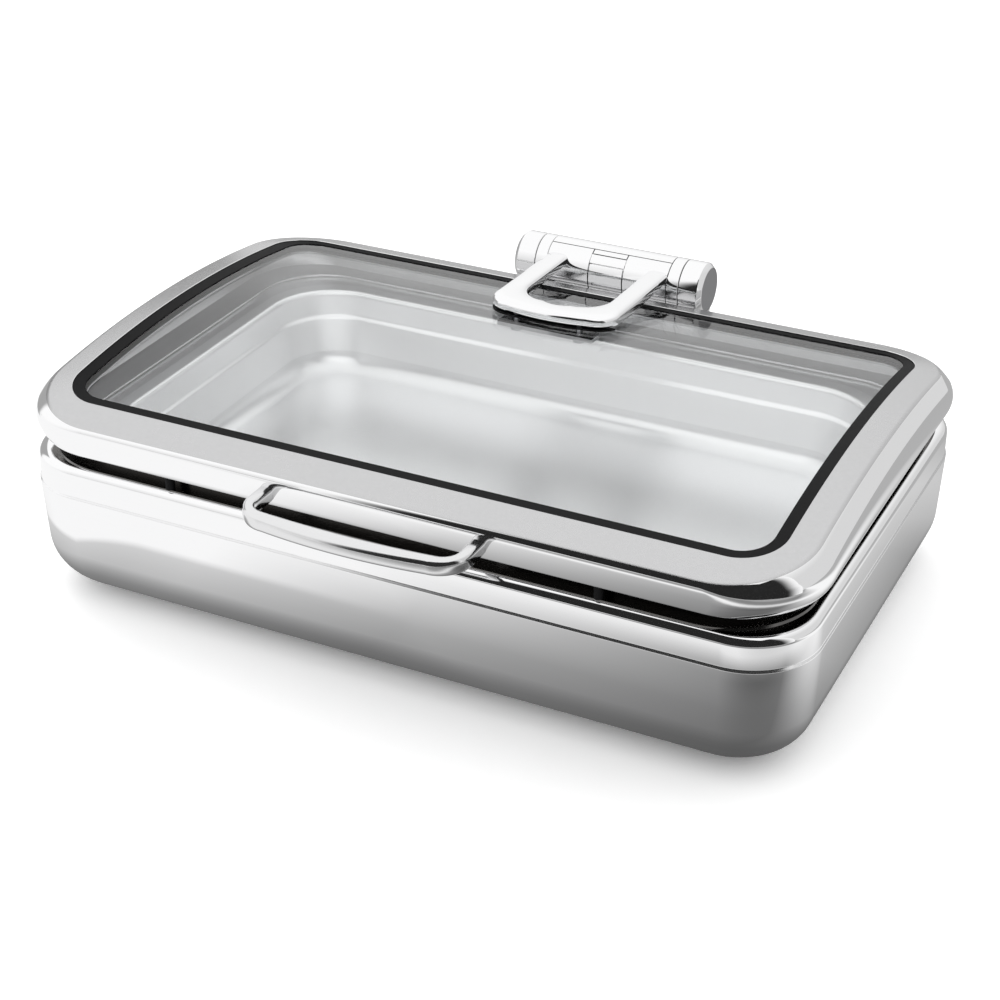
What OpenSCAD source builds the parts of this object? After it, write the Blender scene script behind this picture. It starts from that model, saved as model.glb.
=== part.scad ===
// Chafing dish: a deep-drawn steel body that holds hot water, a food pan that hangs in it,
// and a glass lid on a spring hinge. Millimetres, +Z up, +X along the long side, +Y to the hinge.
// The origin lies on the table, under the middle of the body.

/* [Food pan] */
// Length of the pan over its flange
pan_l = 530; // [480:1:560]
// Width of the pan over its flange
pan_w = 325; // [290:1:350]
// Width of the pan's flange
pan_flange = 12; // [9:0.5:16]
// Depth of the pan
pan_depth = 65; // [50:1:80]
// Radius of the pan's upright corners at the rim
pan_corner = 52; // [40:1:60]
// Thickness of the pan's steel
pan_sheet = 1.2; // [0.8:0.1:2]
// Depth of the stacking shoulder below the rim
shoulder_depth = 21; // [12:1:28]
// How far the shoulder steps in
shoulder_step = 2.5; // [1.5:0.5:4]
// How far the pan's wall leans in between the shoulder and the floor
pan_lean = 8; // [5:0.5:12]
// Radius between the pan's wall and its floor
pan_fillet = 16; // [10:1:22]

/* [Body] */
// Height of the drawn body, without its base plate
body_h = 114; // [104:1:140]
// Steel between the collar's neck and the body's side, at each end
neck_to_end = 22; // [18:0.5:26]
// Steel between the collar's neck and the body's side, front and back
neck_to_side = 15.5; // [14:0.5:20]
// Radius of the body's upright corners
body_corner = 52; // [44:1:60]
// Thickness of the body's steel
body_sheet = 1.5; // [1:0.1:2.2]
// Height of the upright band above the crease
band_h = 25; // [18:1:32]
// How far the band stands back from the wall below it
band_step = 1; // [0.6:0.1:1.6]
// Lean of the wall below the crease, in degrees
wall_lean = 2.5; // [1:0.5:4]
// Radius between the wall and the bottom
body_fillet = 42; // [34:1:46]
// Radius of the rolled lip
lip_roll = 3; // [2.5:0.1:4]
// Width of the lip's flat
lip_flat = 11; // [10:0.5:12]
// Thickness of the base plate
plate_t = 3; // [2:0.5:5]
// How far the base plate stands back from the body's sides
plate_back = 60; // [56:1:80]

/* [Collar] */
// Height of the collar's neck above the lip
neck_h = 10; // [8:0.5:11]
// Ledge outside the pan's flange
ledge_w = 16; // [12:0.5:20]
// Thickness of the collar's steel
collar_sheet = 1.2; // [0.8:0.1:1.6]
// Depth of the collar's turned-down inner edge
collar_drop = 4; // [3:0.5:8]
// Clearance between the pan and the collar's opening
pan_play = 1.2; // [0.8:0.1:2]
// Radius of a lid bumper
bumper_r = 3.4; // [2.5:0.1:4]
// Distance of each bumper from the middle of the body, along its length
bumper_x = 165; // [150:1:200]

/* [Lid] */
// How far the lid's crease stands inside the body at each end
crease_in_end = 7.5; // [5:0.5:10]
// How far the lid's crease stands out past the body, front and back
crease_out_side = 1.5; // [0:0.5:3]
// How far the lid's ends bulge past its crease
bulge_end = 8.5; // [5:0.5:10]
// How far the lid's front and back bulge
bulge_side = 1.5; // [0.5:0.5:3]
// How far the lid's lower edge stands in from its crease, front and back
edge_in_side = 4; // [3:0.5:5]
// How far the lid's lower edge stands out from its crease, at each end
edge_out_end = 3; // [1:0.5:5]
// How far the lid's turned-in lower edge reaches over the collar's ledge
edge_over = 4; // [3:0.5:6]
// Thickness of the lid's turned-in lower edge
edge_sheet = 1.5; // [1:0.1:2]
// Radius of the lid's upright corners
lid_corner = 64; // [58:1:70]
// Gap between the body's lip and the lid's lower edge
lid_gap = 11; // [10:0.5:14]
// Height of the lid's side at the front
skirt_h = 24; // [20:0.5:28]
// Thickness of the lid's steel
lid_sheet = 2; // [1.5:0.1:2.4]
// Width of the lid's border at each end
border_end = 21.5; // [19:0.5:25]
// Width of the lid's border, front and back
border_side = 27; // [25:0.5:31]
// Rise of the border from its crease to the glass
border_rise = 2.8; // [2:0.1:4]
// Radius of the corners of the lid's window
window_corner = 32; // [28:1:38]
// Radius of the lid's arched top, front to back
vault_r = 980; // [900:10:1100]
// Thickness of the glass
glass_t = 4; // [3:0.5:5]
// Visible width of the black seal
seal_w = 9.5; // [8:0.5:11]
// Seal between the glass edge and the window
seal_edge = 3.5; // [2.5:0.1:4.5]
// Thickness of each lip of the seal
seal_lip = 1.2; // [1:0.1:1.6]
// Depth of the glass below the border's inner edge
glass_drop = 2.6; // [2.2:0.1:3]
// Thickness of the glass retainer
retainer_sheet = 1.5; // [1:0.1:2]
// Width of the retainer's outer flange
retainer_flange = 15.5; // [13:0.5:16]
// Radius of a retainer stud
stud_r = 2; // [1.5:0.1:2.5]

/* [Handle] */
// Half the distance between the handle's legs, centre to centre
handle_half = 81; // [70:1:95]
// Width of a handle leg
leg_w = 9; // [7.5:0.5:11]
// Finger gap between the lid's side and the grip
finger_gap = 31; // [24:0.5:36]
// Depth of the grip at its middle
grip_depth = 12; // [10:0.5:15]
// Thickness of the handle
handle_t = 9; // [8:0.5:11]
// How far the handle lies below the middle of the lid's side
handle_drop = 2.5; // [0:0.5:4]
// How far the grip's outer edge bows
grip_bow = 4.5; // [2:0.5:6]

/* [Hinge] */
// Radius of the hinge barrel
barrel_r = 21.5; // [20.5:0.5:23]
// Wall of the hinge barrel
barrel_wall = 4.5; // [4:0.1:5]
// Length of each bush, from the loop to the barrel's end
bush_l = 9.8; // [8:0.1:13]
// Length of each fixed knuckle
knuckle_l = 19.2; // [16:0.2:24]
// Gap between the barrel and each knuckle
knuckle_gap = 0.5; // [0.3:0.1:1]
// Chamfer on the outer edge of a knuckle
knuckle_chamfer = 3.5; // [2:0.1:4]
// Radius of the hinge axle
axle_r = 6; // [5:0.1:7]
// Gap between the lid's back crease and the barrel
barrel_gap = 1; // [0.6:0.1:2]
// Height of the hinge axis above the lid's crease
hinge_up = 7.3; // [6.5:0.1:9]
// Half the width of the hinge loop
arm_half = 53; // [48:0.5:58]
// Width of each side of the loop
arm_w = 16.5; // [15:0.5:20]
// Reach of the loop forwards from the hinge axis
arm_reach = 138; // [125:1:145]
// Height of the loop's top above the hinge axis
arm_rise = 17.5; // [16.5:0.5:18.5]
// Height of the loop's underside above the hinge axis, at the barrel
arm_under = 7.5; // [6:0.5:9]
// How far the loop's top falls towards its front
arm_front_drop = 2.5; // [1:0.5:4]
// Depth of the loop's front plate
arm_front = 17; // [15:0.5:22]
// Thickness of the silicone pads on the glass
pad_t = 1.2; // [0.8:0.1:1.6]
// Thickness of the clamp plate under the glass
clamp_t = 3; // [2:0.5:4]
// Radius of a loop bolt
bolt_r = 2.5; // [2:0.1:3]
// Distance of the bracket's base below the body's crease
bracket_down = 5; // [4:0.5:10]
// Height of the bracket's base on the body's back
bracket_h = 32; // [26:1:34]
// Thickness of the bracket's ears' base behind the lid
bracket_t = 8; // [7:0.5:11]
// Gap between the lid's side and the bracket's ears
ear_gap = 2.5; // [2:0.1:3]
// Thickness of the seal under the bracket
bracket_seal_t = 2; // [1.5:0.1:3]
// Radius of a bracket screw
screw_r = 3; // [2.5:0.1:3.5]

/* [Hidden] */
$fn = 48;

// Steps of an outline's corner, and of its straight end
corner_steps = 8;
end_steps = 10;
// Steps of a rounded stretch in a section
curve_steps = 8;
// Sides of the arch's circle in a preview
arch_sides = 720;
// Play between pieces that lie against each other
play = 0.15;
// Play of a shaft in its hole
fit = 0.05;
// Length that a cut runs past a face
past = 1;
// Length of a cut that goes right through
through = 60;
// Radius of a screw's head as a share of its shank's
head_share = 1.8;

// Sizes seen from above
pan_open_l = pan_l - 2 * pan_flange;
pan_open_w = pan_w - 2 * pan_flange;
neck_l = pan_l + 2 * ledge_w;
neck_w = pan_w + 2 * ledge_w;
neck_corner = pan_corner + pan_flange / 2;
body_l = neck_l + 2 * neck_to_end;
body_w = neck_w + 2 * neck_to_side;
crease_l = body_l - 2 * crease_in_end;
crease_w = body_w + 2 * crease_out_side;
lid_l = crease_l + 2 * bulge_end + edge_out_end;
window_l = crease_l - 2 * border_end;
window_w = crease_w - 2 * border_side;

// Heights
lip_z = plate_t + body_h;
body_crease_z = lip_z - band_h;
ledge_z = lip_z + neck_h;
rim_z = ledge_z + pan_sheet;
lid_edge_z = lip_z + lid_gap;
lid_crease_z = lid_edge_z + skirt_h;
window_z = lid_crease_z + border_rise;
bulge_z = lid_edge_z + skirt_h / 2;

// The arch of the lid: its height over the front and back creases
function lift(y) = sqrt(vault_r ^ 2 - y ^ 2) - sqrt(vault_r ^ 2 - (crease_w / 2) ^ 2);
vault_axis_z = window_z - sqrt(vault_r ^ 2 - (crease_w / 2) ^ 2);

// Levels of the glass and its seal, all at the height of the front crease
glass_top_z = window_z - glass_drop;
glass_low_z = glass_top_z - glass_t;
seal_low_z = glass_low_z - seal_lip;

// Hinge
hinge_y = crease_w / 2 + barrel_r + barrel_gap;
hinge_z = lid_crease_z + hinge_up;
bore_r = barrel_r - barrel_wall;
barrel_half = arm_half + bush_l;
knuckle_x = barrel_half + knuckle_gap;
knuckle_end = knuckle_x + knuckle_l;
cap_t = 4;
cap_rim = 0.4;
cap_r = barrel_r - knuckle_chamfer - cap_rim;
axle_end = knuckle_end - cap_t - play;
bush_wall = 3;
bush_r = axle_r + bush_wall;
// Angles on the barrel, upwards from its front, where the loop's root ends
root_top = 70;
root_notch = 56;
root_tab = 33;
root_low = -60;
tab_half = 15;
seam_angle = 0.5;
// Wall at the inside of the loop's root that the barrel screws hold
tongue_low = -100;
tongue_t = 3;
tongue_turn = 25;
tongue_r = bore_r - play;
spring_wire = 1.2;
spring_turns = 11;
sleeve_wall = 2.4;
sleeve_r = axle_r + sleeve_wall;
inner_play = 0.4;
spring_r = sleeve_r + spring_wire + inner_play;
damper_l = 30;
damper_r = tongue_r - tongue_t - inner_play;
rotor_r = axle_r + sleeve_wall;

// Bracket on the body's back
bracket_top_z = body_crease_z - bracket_down;
bracket_low_z = bracket_top_z - bracket_h;
bracket_y = body_w / 2 + bracket_seal_t;
ear_y = crease_w / 2 + ear_gap;
bracket_back_y = ear_y + bracket_t;
screw_in = 27;
screw_x = knuckle_end - knuckle_chamfer - screw_in;
screw_end = 4;
ear_back_y = hinge_y + 0.9 * barrel_r;
ear_back_z = hinge_z - barrel_r / 3;
ear_front_z = hinge_z - 0.62 * barrel_r;
block_half = knuckle_end - knuckle_chamfer;
seal_edge_in = 2;
backing_edge_in = 6;
screw_zs = [bracket_low_z + bracket_h / 4, bracket_top_z - bracket_h / 4];
backing_t = 2.5;
head_t = 3.6;

// Loop
arm_y = hinge_y - arm_reach;
arm_top_z = hinge_z + arm_rise;
arm_low_z = hinge_z + arm_under;
arm_flat_y = hinge_y - 0.6 * barrel_r;
arm_back_y = hinge_y - 0.37 * barrel_r;
arm_out_r = 20;
arm_in_r = 26;
arm_bow = 4;
arm_bolt_x = arm_half / 2;
arm_bolt_y = arm_y + arm_front / 2;
clamp_half = 0.75 * arm_half;
bolt_depth = 6;
bolt_head_t = 3;

// Handle
handle_z = bulge_z - handle_drop;
handle_y = -side_half(handle_z);
leg_end_y = 0.9 * lid_sheet - side_half(handle_z + handle_t / 2);
grip_out_r = 25;
grip_in_r = 10;
grip_in_bow = 3;
handle_screw_l = 10;
grip_in_y = handle_y - finger_gap;
grip_out_y = grip_in_y - grip_depth;
handle_screw_r = 2.5;

// Points of an arc from one angle to another
function arc(cx, cy, r, from, to, steps) =
    [for (i = [0:steps]) let (a = from + (to - from) * i / steps) [cx + r * cos(a), cy + r * sin(a)]];
function reversed(list) = [for (i = [len(list) - 1:-1:0]) list[i]];

// Right half of a rounded rectangle, front to back, and the whole of it
function half_outline(l, w, r) = concat(
    arc(l / 2 - r, r - w / 2, r, -90, 0, corner_steps),
    [for (i = [1:end_steps - 1]) [l / 2, (w - 2 * r) * (i / end_steps - 0.5)]],
    arc(l / 2 - r, w / 2 - r, r, 0, 90, corner_steps));
function outline(l, w, r) = let (h = half_outline(l, w, r)) concat(h, [for (p = reversed(h)) [-p[0], p[1]]]);
half_count = 2 * (corner_steps + 1) + end_steps - 1;
loop_count = 2 * half_count;

// One level of a swept piece: [length, width, corner, height, share of the lid's arch]
function level_points(v) =
    [for (p = outline(v[0], v[1], v[2])) [p[0], p[1], v[3] + v[4] * lift(p[1])]];
function all_points(levels) = [for (v = levels) each level_points(v)];
// Walls between each level and the next
function wall_faces(from, to) = [for (j = [0:loop_count - 1]) let (k = (j + 1) % loop_count)
    [from * loop_count + j, to * loop_count + j, to * loop_count + k, from * loop_count + k]];

// A ring: the levels go once round its section
module swept_ring(levels) {
    n = len(levels);
    polyhedron(points = all_points(levels), faces = [for (i = [0:n - 1]) each wall_faces(i, (i + 1) % n)],
        convexity = 10);
}

// A dish: the levels go up its outside and down its inside
module swept_dish(levels) {
    n = len(levels);
    walls = [for (i = [0:n - 2]) each wall_faces(i, i + 1)];
    under = [for (j = [0:loop_count - 1]) j];
    inside = [for (j = [loop_count - 1:-1:0]) (n - 1) * loop_count + j];
    polyhedron(points = all_points(levels), faces = concat(walls, [under, inside]), convexity = 10);
}

// An arched sheet: strips across it from front to back
module swept_sheet(low, high) {
    top = [for (i = [0:half_count - 2])
        [2 * loop_count - 1 - i, 2 * loop_count - 2 - i, loop_count + i + 1, loop_count + i]];
    under = [for (i = [0:half_count - 2]) [i, i + 1, loop_count - 2 - i, loop_count - 1 - i]];
    polyhedron(points = all_points([low, high]), faces = concat(wall_faces(0, 1), top, under), convexity = 6);
}

// Places and shapes that several pieces share
module along_x(from, to) translate([from, 0, 0]) rotate([90, 0, 90]) linear_extrude(to - from) children();
module rod_x(r, from, to) along_x(from, to) circle(r);
module rod_y(r, from, to) rotate([-90, 0, 0]) translate([0, 0, from]) cylinder(r = r, h = to - from);
module at_hinge() translate([0, hinge_y, hinge_z]) children();
module both_ends() {
    children();
    mirror([1, 0, 0]) children();
}
// A point on the lid's arch, with Z square to it
module on_arch(x, y) translate([x, 0, vault_axis_z]) rotate([-asin(y / vault_r), 0, 0])
    translate([0, 0, vault_r]) children();
// The space under the arch, down to a depth below it
module under_arch(depth) translate([0, 0, vault_axis_z])
    rod_x(vault_r - depth, -lid_l, lid_l, $fn = arch_sides);
// A slice between two depths below the arch
module arch_slice(high, low) intersection() {
    children();
    difference() {
        under_arch(high);
        under_arch(low);
    }
}
// A wedge about the barrel's axis between two angles
module wedge_x(from, to, x0, x1) along_x(x0, x1)
    polygon(concat([[0, 0]], [for (i = [0:4]) let (a = from + (to - from) * i / 4)
        2 * barrel_r * [-cos(a), sin(a)]]));
// A bent bar's path round its open end: right leg, bowed front, left leg
function bow_path(half, near, far, r, bow) = concat(
    [[half, near]],
    arc(half - r, far + bow + r, r, 0, -90, curve_steps),
    [for (i = [1:curve_steps - 1]) let (t = 1 - 2 * i / curve_steps) [t * (half - r), far + bow * t ^ 2]],
    arc(r - half, far + bow + r, r, -90, -180, curve_steps),
    [[-half, near]]);

// Section of the body, as [inset, height] from the bottom up
function body_side(sheet) = let (
        r = body_fillet - sheet,
        turn = 90 - wall_lean,
        low = plate_t + body_fillet,
        foot = (body_crease_z - low + body_fillet * sin(wall_lean)) * tan(wall_lean)
            + body_fillet * cos(wall_lean))
    concat(
        [for (i = [0:curve_steps]) let (a = 90 - turn * i / curve_steps)
            [foot - r * cos(a), low - r * sin(a)]],
        [[sheet, body_crease_z]],
        [[sheet + band_step, body_crease_z + band_step]]);
// Corners open out less than the inset, as they do on a drawn pan
corner_share = 0.6;
function body_level(p) = [body_l - 2 * p[0], body_w - 2 * p[0], body_corner - corner_share * p[0], p[1], 0];
lip_inset = band_step + lip_roll;
lip_arc = [for (i = [0:curve_steps / 2]) let (a = 180 * i / curve_steps)
    [lip_inset - lip_roll * cos(a), lip_z - lip_roll + lip_roll * sin(a)]];
lip_in = lip_inset + lip_flat;
// Inset of the outer wall's back at a height below the crease
function wall_inset(z) = (body_crease_z - z) * tan(wall_lean);

// Body and base

module screw_holes(r) for (x = [-screw_x, screw_x], z = screw_zs)
    translate([x, 0, z]) rod_y(r, body_w / 2 - through, bracket_y + past);

module body_shell() color("gainsboro") difference() {
    swept_dish([for (p = concat(
        body_side(0),
        lip_arc,
        [[lip_in, lip_z], [lip_in, lip_z - body_sheet],
            [lip_inset, lip_z - body_sheet], [band_step + body_sheet, lip_z - lip_roll]],
        reversed(body_side(body_sheet)))) body_level(p)]);
    screw_holes(screw_r + fit);
}

module base_plate() color("silver") swept_dish([
    for (z = [0, plate_t]) [body_l - 2 * plate_back, body_w - 2 * plate_back, body_corner, z, 0]]);

// Section of the collar, as [growth from the neck, height]
collar_in = pan_flange - pan_play + ledge_w;
flange_out = neck_to_side - lip_inset - play;
module rim_collar() color("darkgray") swept_ring([for (p = [
    [flange_out, lip_z], [flange_out, lip_z + collar_sheet], [0, lip_z + collar_sheet], [0, ledge_z],
    [-collar_in, ledge_z], [-collar_in, ledge_z - collar_drop],
    [collar_sheet - collar_in, ledge_z - collar_drop], [collar_sheet - collar_in, ledge_z - collar_sheet],
    [-collar_sheet, ledge_z - collar_sheet], [-collar_sheet, lip_z]])
    [neck_l + 2 * p[0], neck_w + 2 * p[0], neck_corner + p[0] / 2, p[1], 0]]);

bumper_over = 1;
bumper_y = neck_w / 2 + flange_out + bumper_over - bumper_r;
module lid_bumpers() color("dimgray")
    for (x = [-bumper_x, bumper_x], y = [-bumper_y, bumper_y])
        translate([x, y, lip_z + collar_sheet]) cylinder(r = bumper_r, h = lid_gap - collar_sheet - 2 * play);

// Section of the pan, as [inset from the opening, height] from the floor up
function pan_side(sheet) = let (
        floor_z = rim_z - pan_depth,
        low = floor_z + pan_fillet,
        wall = shoulder_step + pan_lean,
        r = pan_fillet - sheet)
    concat(
        [for (i = [0:curve_steps / 2]) let (a = 90 - 180 * i / curve_steps)
            [wall + pan_fillet - r * cos(a), low - r * sin(a)]],
        [[shoulder_step + sheet, rim_z - shoulder_depth - shoulder_step], [sheet, rim_z - shoulder_depth]]);
module food_pan() color("lightgray") swept_dish([for (p = concat(
    pan_side(0),
    [[0, ledge_z], [-pan_flange, ledge_z], [-pan_flange, rim_z], [pan_sheet, rim_z]],
    reversed(pan_side(pan_sheet))))
    [pan_open_l - 2 * p[0], pan_open_w - 2 * p[0], pan_corner - corner_share * p[0], p[1], 0]]);

// Hinge, fixed to the body

module knuckle() {
    rod_x(barrel_r, knuckle_x, knuckle_end - knuckle_chamfer);
    translate([knuckle_end - knuckle_chamfer, 0, 0]) rotate([0, 90, 0])
        cylinder(r1 = barrel_r, r2 = barrel_r - knuckle_chamfer, h = knuckle_chamfer);
}

module hinge_bracket() color("silver") difference() {
    union() {
        translate([-block_half, bracket_y, bracket_low_z])
            cube([2 * block_half, bracket_back_y - bracket_y, bracket_h]);
        both_ends() at_hinge() knuckle();
        both_ends() along_x(knuckle_x, block_half) polygon([
            [ear_y, bracket_low_z], [bracket_back_y, bracket_low_z],
            [ear_back_y, ear_back_z], [hinge_y, hinge_z], [ear_y, ear_front_z]]);
    }
    at_hinge() rod_x(axle_r + fit, -knuckle_end, knuckle_end);
    both_ends() at_hinge() rod_x(cap_r + fit, knuckle_end - cap_t, knuckle_end + past);
    for (x = [-screw_x, screw_x], z = screw_zs)
        translate([x, 0, z]) rod_y(screw_r + fit, bracket_y - past, bracket_back_y - screw_end + past);
}

// A plate on the body's back wall, between a plane and the leaning wall
module wall_plate(half, wall_back, plane) along_x(-half, half) polygon([
    [body_w / 2 - wall_inset(bracket_low_z) - wall_back, bracket_low_z], [plane, bracket_low_z],
    [plane, bracket_top_z], [body_w / 2 - wall_inset(bracket_top_z) - wall_back, bracket_top_z]]);

module bracket_seal() color("dimgray") difference() {
    wall_plate(block_half - seal_edge_in, -fit, bracket_y);
    screw_holes(screw_r + fit);
}

backing_y = body_w / 2 - wall_inset(bracket_low_z) - body_sheet - backing_t;
module bracket_backing() color("silver") difference() {
    wall_plate(block_half - backing_edge_in, body_sheet / cos(wall_lean) + fit, backing_y);
    screw_holes(screw_r + fit);
}

module bracket_screws() color("gray") for (x = [-screw_x, screw_x], z = screw_zs) translate([x, 0, z]) {
    rod_y(screw_r, backing_y - head_t, bracket_back_y - screw_end);
    rod_y(head_share * screw_r, backing_y - head_t, backing_y);
}

module hinge_axle() color("gray") at_hinge() rod_x(axle_r, -axle_end, axle_end);

module hinge_end_caps() color("silver") both_ends() at_hinge()
    rod_x(cap_r, knuckle_end - cap_t, knuckle_end);

// Spring and damper inside the barrel

inner_end = 2;
spring_from = inner_end - arm_half;
spring_pitch = 3.2;
module spring_sleeve() color("white") at_hinge() difference() {
    rod_x(sleeve_r, spring_from, spring_from + spring_turns * spring_pitch + 2 * inner_end);
    rod_x(axle_r + fit, -barrel_half, barrel_half);
}

// One wire wound round the sleeve, with a flat six-sided section
spring_rings = 20;
wire_sides = 6;
function wire_ring(i) = let (
        a = 360 * i / spring_rings,
        x = spring_from + inner_end + spring_pitch * i / spring_rings)
    [for (s = [0:wire_sides - 1]) let (b = 360 * s / wire_sides, r = spring_r + spring_wire * cos(b))
        [x + spring_wire * sin(b), r * cos(a), r * sin(a)]];
module torsion_spring() color("slategray") at_hinge() {
    last = spring_turns * spring_rings;
    points = [for (i = [0:last]) each wire_ring(i)];
    walls = [for (i = [0:last - 1], s = [0:wire_sides - 1]) let (t = (s + 1) % wire_sides)
        [i * wire_sides + s, i * wire_sides + t, (i + 1) * wire_sides + t, (i + 1) * wire_sides + s]];
    start = [for (s = [wire_sides - 1:-1:0]) s];
    end = [for (s = [0:wire_sides - 1]) last * wire_sides + s];
    polyhedron(points = points, faces = concat(walls, [start, end]), convexity = 10);
}

module damper_rotor() color("white") at_hinge() difference() {
    rod_x(rotor_r, arm_half - damper_l - inner_end, arm_half - inner_end / 2);
    rod_x(axle_r + fit, 0, barrel_half);
}

module damper_housing() color("dimgray") at_hinge() difference() {
    rod_x(damper_r, arm_half - damper_l, arm_half);
    rod_x(rotor_r + inner_play, 0, barrel_half);
}

// Lid

// Section of the lid's side, for t from -1 at its lower edge to 1 at its crease
function skirt_level(t, sheet) = let (bulge = 1 - t ^ 2, share = (t + 1) / 2)
    [crease_l + 2 * (bulge_end * bulge + edge_out_end * (1 - share) - sheet),
        crease_w + 2 * (bulge_side * bulge - edge_in_side * (1 - share) - sheet),
        lid_corner + bulge_side * bulge - sheet, lid_edge_z + (skirt_h - sheet) * share, share];
// Half the lid's width at a height
function side_half(z) = skirt_level(2 * (z - lid_edge_z) / skirt_h - 1, 0)[1] / 2;
function skirt(sheet) = [for (i = [0:curve_steps]) skirt_level(2 * i / curve_steps - 1, sheet)];
// The inside of the lid's side, down to its turned-in lower edge
edge_t = 2 * edge_sheet / (skirt_h - lid_sheet) - 1;
function skirt_inside() = concat([skirt_level(edge_t, lid_sheet)],
    [for (i = [1:curve_steps]) skirt_level(2 * i / curve_steps - 1, lid_sheet)]);
function turned_edge(z) = [neck_l - 2 * edge_over, neck_w - 2 * edge_over, neck_corner - edge_over, z, 0];
// A level set in from the lid's window, or out from it where the inset is negative
function window_level(inset, z) = [window_l - 2 * inset, window_w - 2 * inset, window_corner - inset, z, 1];

module handle_holes(r) for (x = [-handle_half, handle_half])
    translate([x, 0, handle_z]) rod_y(r, handle_y - past, handle_y + 2 * lid_sheet);

// The lid's side with its play, to shape the pieces that bear on it
module lid_side() swept_ring(concat(skirt(-fit), reversed(skirt(lid_sheet + fit))));

module lid_frame() color("whitesmoke") difference() {
    swept_ring(concat(
        skirt(0),
        [window_level(0, window_z), window_level(0, window_z - lid_sheet)],
        reversed(skirt_inside()),
        [turned_edge(lid_edge_z + edge_sheet), turned_edge(lid_edge_z)]));
    handle_holes(handle_screw_r + fit);
}

glass_inset = seal_edge + fit;
module lid_glass() color("lightblue", 0.4) difference() {
    swept_sheet(window_level(glass_inset, glass_low_z + fit), window_level(glass_inset, glass_top_z - fit));
    arm_bolt_rods(bolt_r + 2 * fit, through / 2, through);
}

module glass_seal() color("black") swept_ring([
    window_level(play, seal_low_z), window_level(play, window_z - play),
    window_level(seal_w, glass_top_z + seal_lip - play), window_level(seal_w, glass_top_z),
    window_level(seal_edge, glass_top_z), window_level(seal_edge, glass_low_z),
    window_level(seal_w, glass_low_z), window_level(seal_w, seal_low_z)]);

// Section of the retainer: a foot under the seal and a flange that follows the border's underside
riser = 0.6;
flange_end = riser + retainer_flange;
function flange_z(out) = window_z - border_rise * out / (border_end - lid_sheet) - lid_sheet - play;
module glass_retainer() color("silver") difference() {
    swept_ring([
        window_level(-flange_end, flange_z(flange_end) - retainer_sheet),
        window_level(-flange_end, flange_z(flange_end)),
        window_level(-riser, flange_z(riser)), window_level(-riser, seal_low_z - play),
        window_level(seal_w, seal_low_z - play), window_level(seal_w, seal_low_z - play - retainer_sheet),
        window_level(-riser - retainer_sheet, seal_low_z - play - retainer_sheet),
        window_level(-riser - retainer_sheet, flange_z(riser + retainer_sheet) - retainer_sheet)]);
    studs(stud_r + 2 * fit, past, through / 4);
}

// Studs under the border's middle: three on each long side and two on each short side
stud_out = 0.6 * flange_end;
stud_x = window_l / 2 + stud_out;
stud_y = window_w / 2 + stud_out;
stud_places = concat(
    [for (x = [-window_l / 3, 0, window_l / 3], side = [-1, 1]) [x, side * stud_y]],
    [for (y = [-window_w / 5, window_w / 5], side = [-1, 1]) [side * stud_x, y]]);
stud_top = border_rise * stud_out / (border_end - lid_sheet) + lid_sheet;
module studs(r, above, length) for (p = stud_places)
    on_arch(p[0], p[1]) translate([0, 0, above - stud_top - length]) cylinder(r = r, h = length);

stud_seat = 0.45;
nut_t = 3.2;
nut_drop = play + retainer_sheet + 2 * stud_seat;
module retainer_studs() color("gray") studs(stud_r, -stud_seat, nut_drop + nut_t + past);

module retainer_nuts() color("silver") for (p = stud_places)
    on_arch(p[0], p[1]) translate([0, 0, -stud_top - nut_drop - nut_t]) difference() {
        cylinder(r = head_share * stud_r, h = nut_t, $fn = 6);
        translate([0, 0, -past]) cylinder(r = stud_r + fit, h = nut_t + 2 * past);
    }

module lid_handle() color("silver") difference() {
    translate([0, 0, handle_z - handle_t / 2]) linear_extrude(handle_t) polygon(concat(
        bow_path(handle_half + leg_w / 2, leg_end_y, grip_out_y, grip_out_r, grip_bow),
        reversed(bow_path(handle_half - leg_w / 2, leg_end_y, grip_in_y, grip_in_r, grip_in_bow))));
    lid_side();
    for (x = [-handle_half, handle_half])
        translate([x, 0, handle_z])
            rod_y(handle_screw_r + fit, handle_y - handle_screw_l - past, leg_end_y + past);
}

// Washers shaped to the inside of the lid
washer_t = 1;
washer_r = head_share * handle_screw_r;
washer_y = handle_y + lid_sheet + washer_t;
washer_from_y = 2 * fit - side_half(handle_z - washer_r);
handle_head_t = 2.5;
module handle_washers() color("silver") difference() {
    for (x = [-handle_half, handle_half]) translate([x, 0, handle_z]) difference() {
        rod_y(washer_r, washer_from_y, washer_y + washer_t);
        rod_y(handle_screw_r + fit, handle_y, washer_y + washer_t + past);
    }
    lid_side();
}

module handle_screws() color("gray") for (x = [-handle_half, handle_half]) translate([x, 0, handle_z]) {
    rod_y(handle_screw_r, handle_y - handle_screw_l, washer_y + washer_t + handle_head_t);
    rod_y(head_share * handle_screw_r, washer_y + washer_t, washer_y + washer_t + handle_head_t);
}

// Hinge, turning with the lid

// The loop's plan, and the loop's side as a slab that thins towards its front
module arm_plan() polygon(concat(
    bow_path(arm_half, hinge_y, arm_y, arm_out_r, arm_bow),
    reversed(bow_path(arm_half - arm_w, hinge_y, arm_y + arm_front, arm_in_r, arm_bow - past))));
module arm_slab() along_x(-arm_half, arm_half) polygon([
    [arm_y - past, arm_low_z], [arm_y - past, arm_top_z - arm_front_drop],
    [arm_flat_y, arm_top_z], [arm_back_y, arm_top_z], [arm_back_y, arm_low_z]]);
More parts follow.
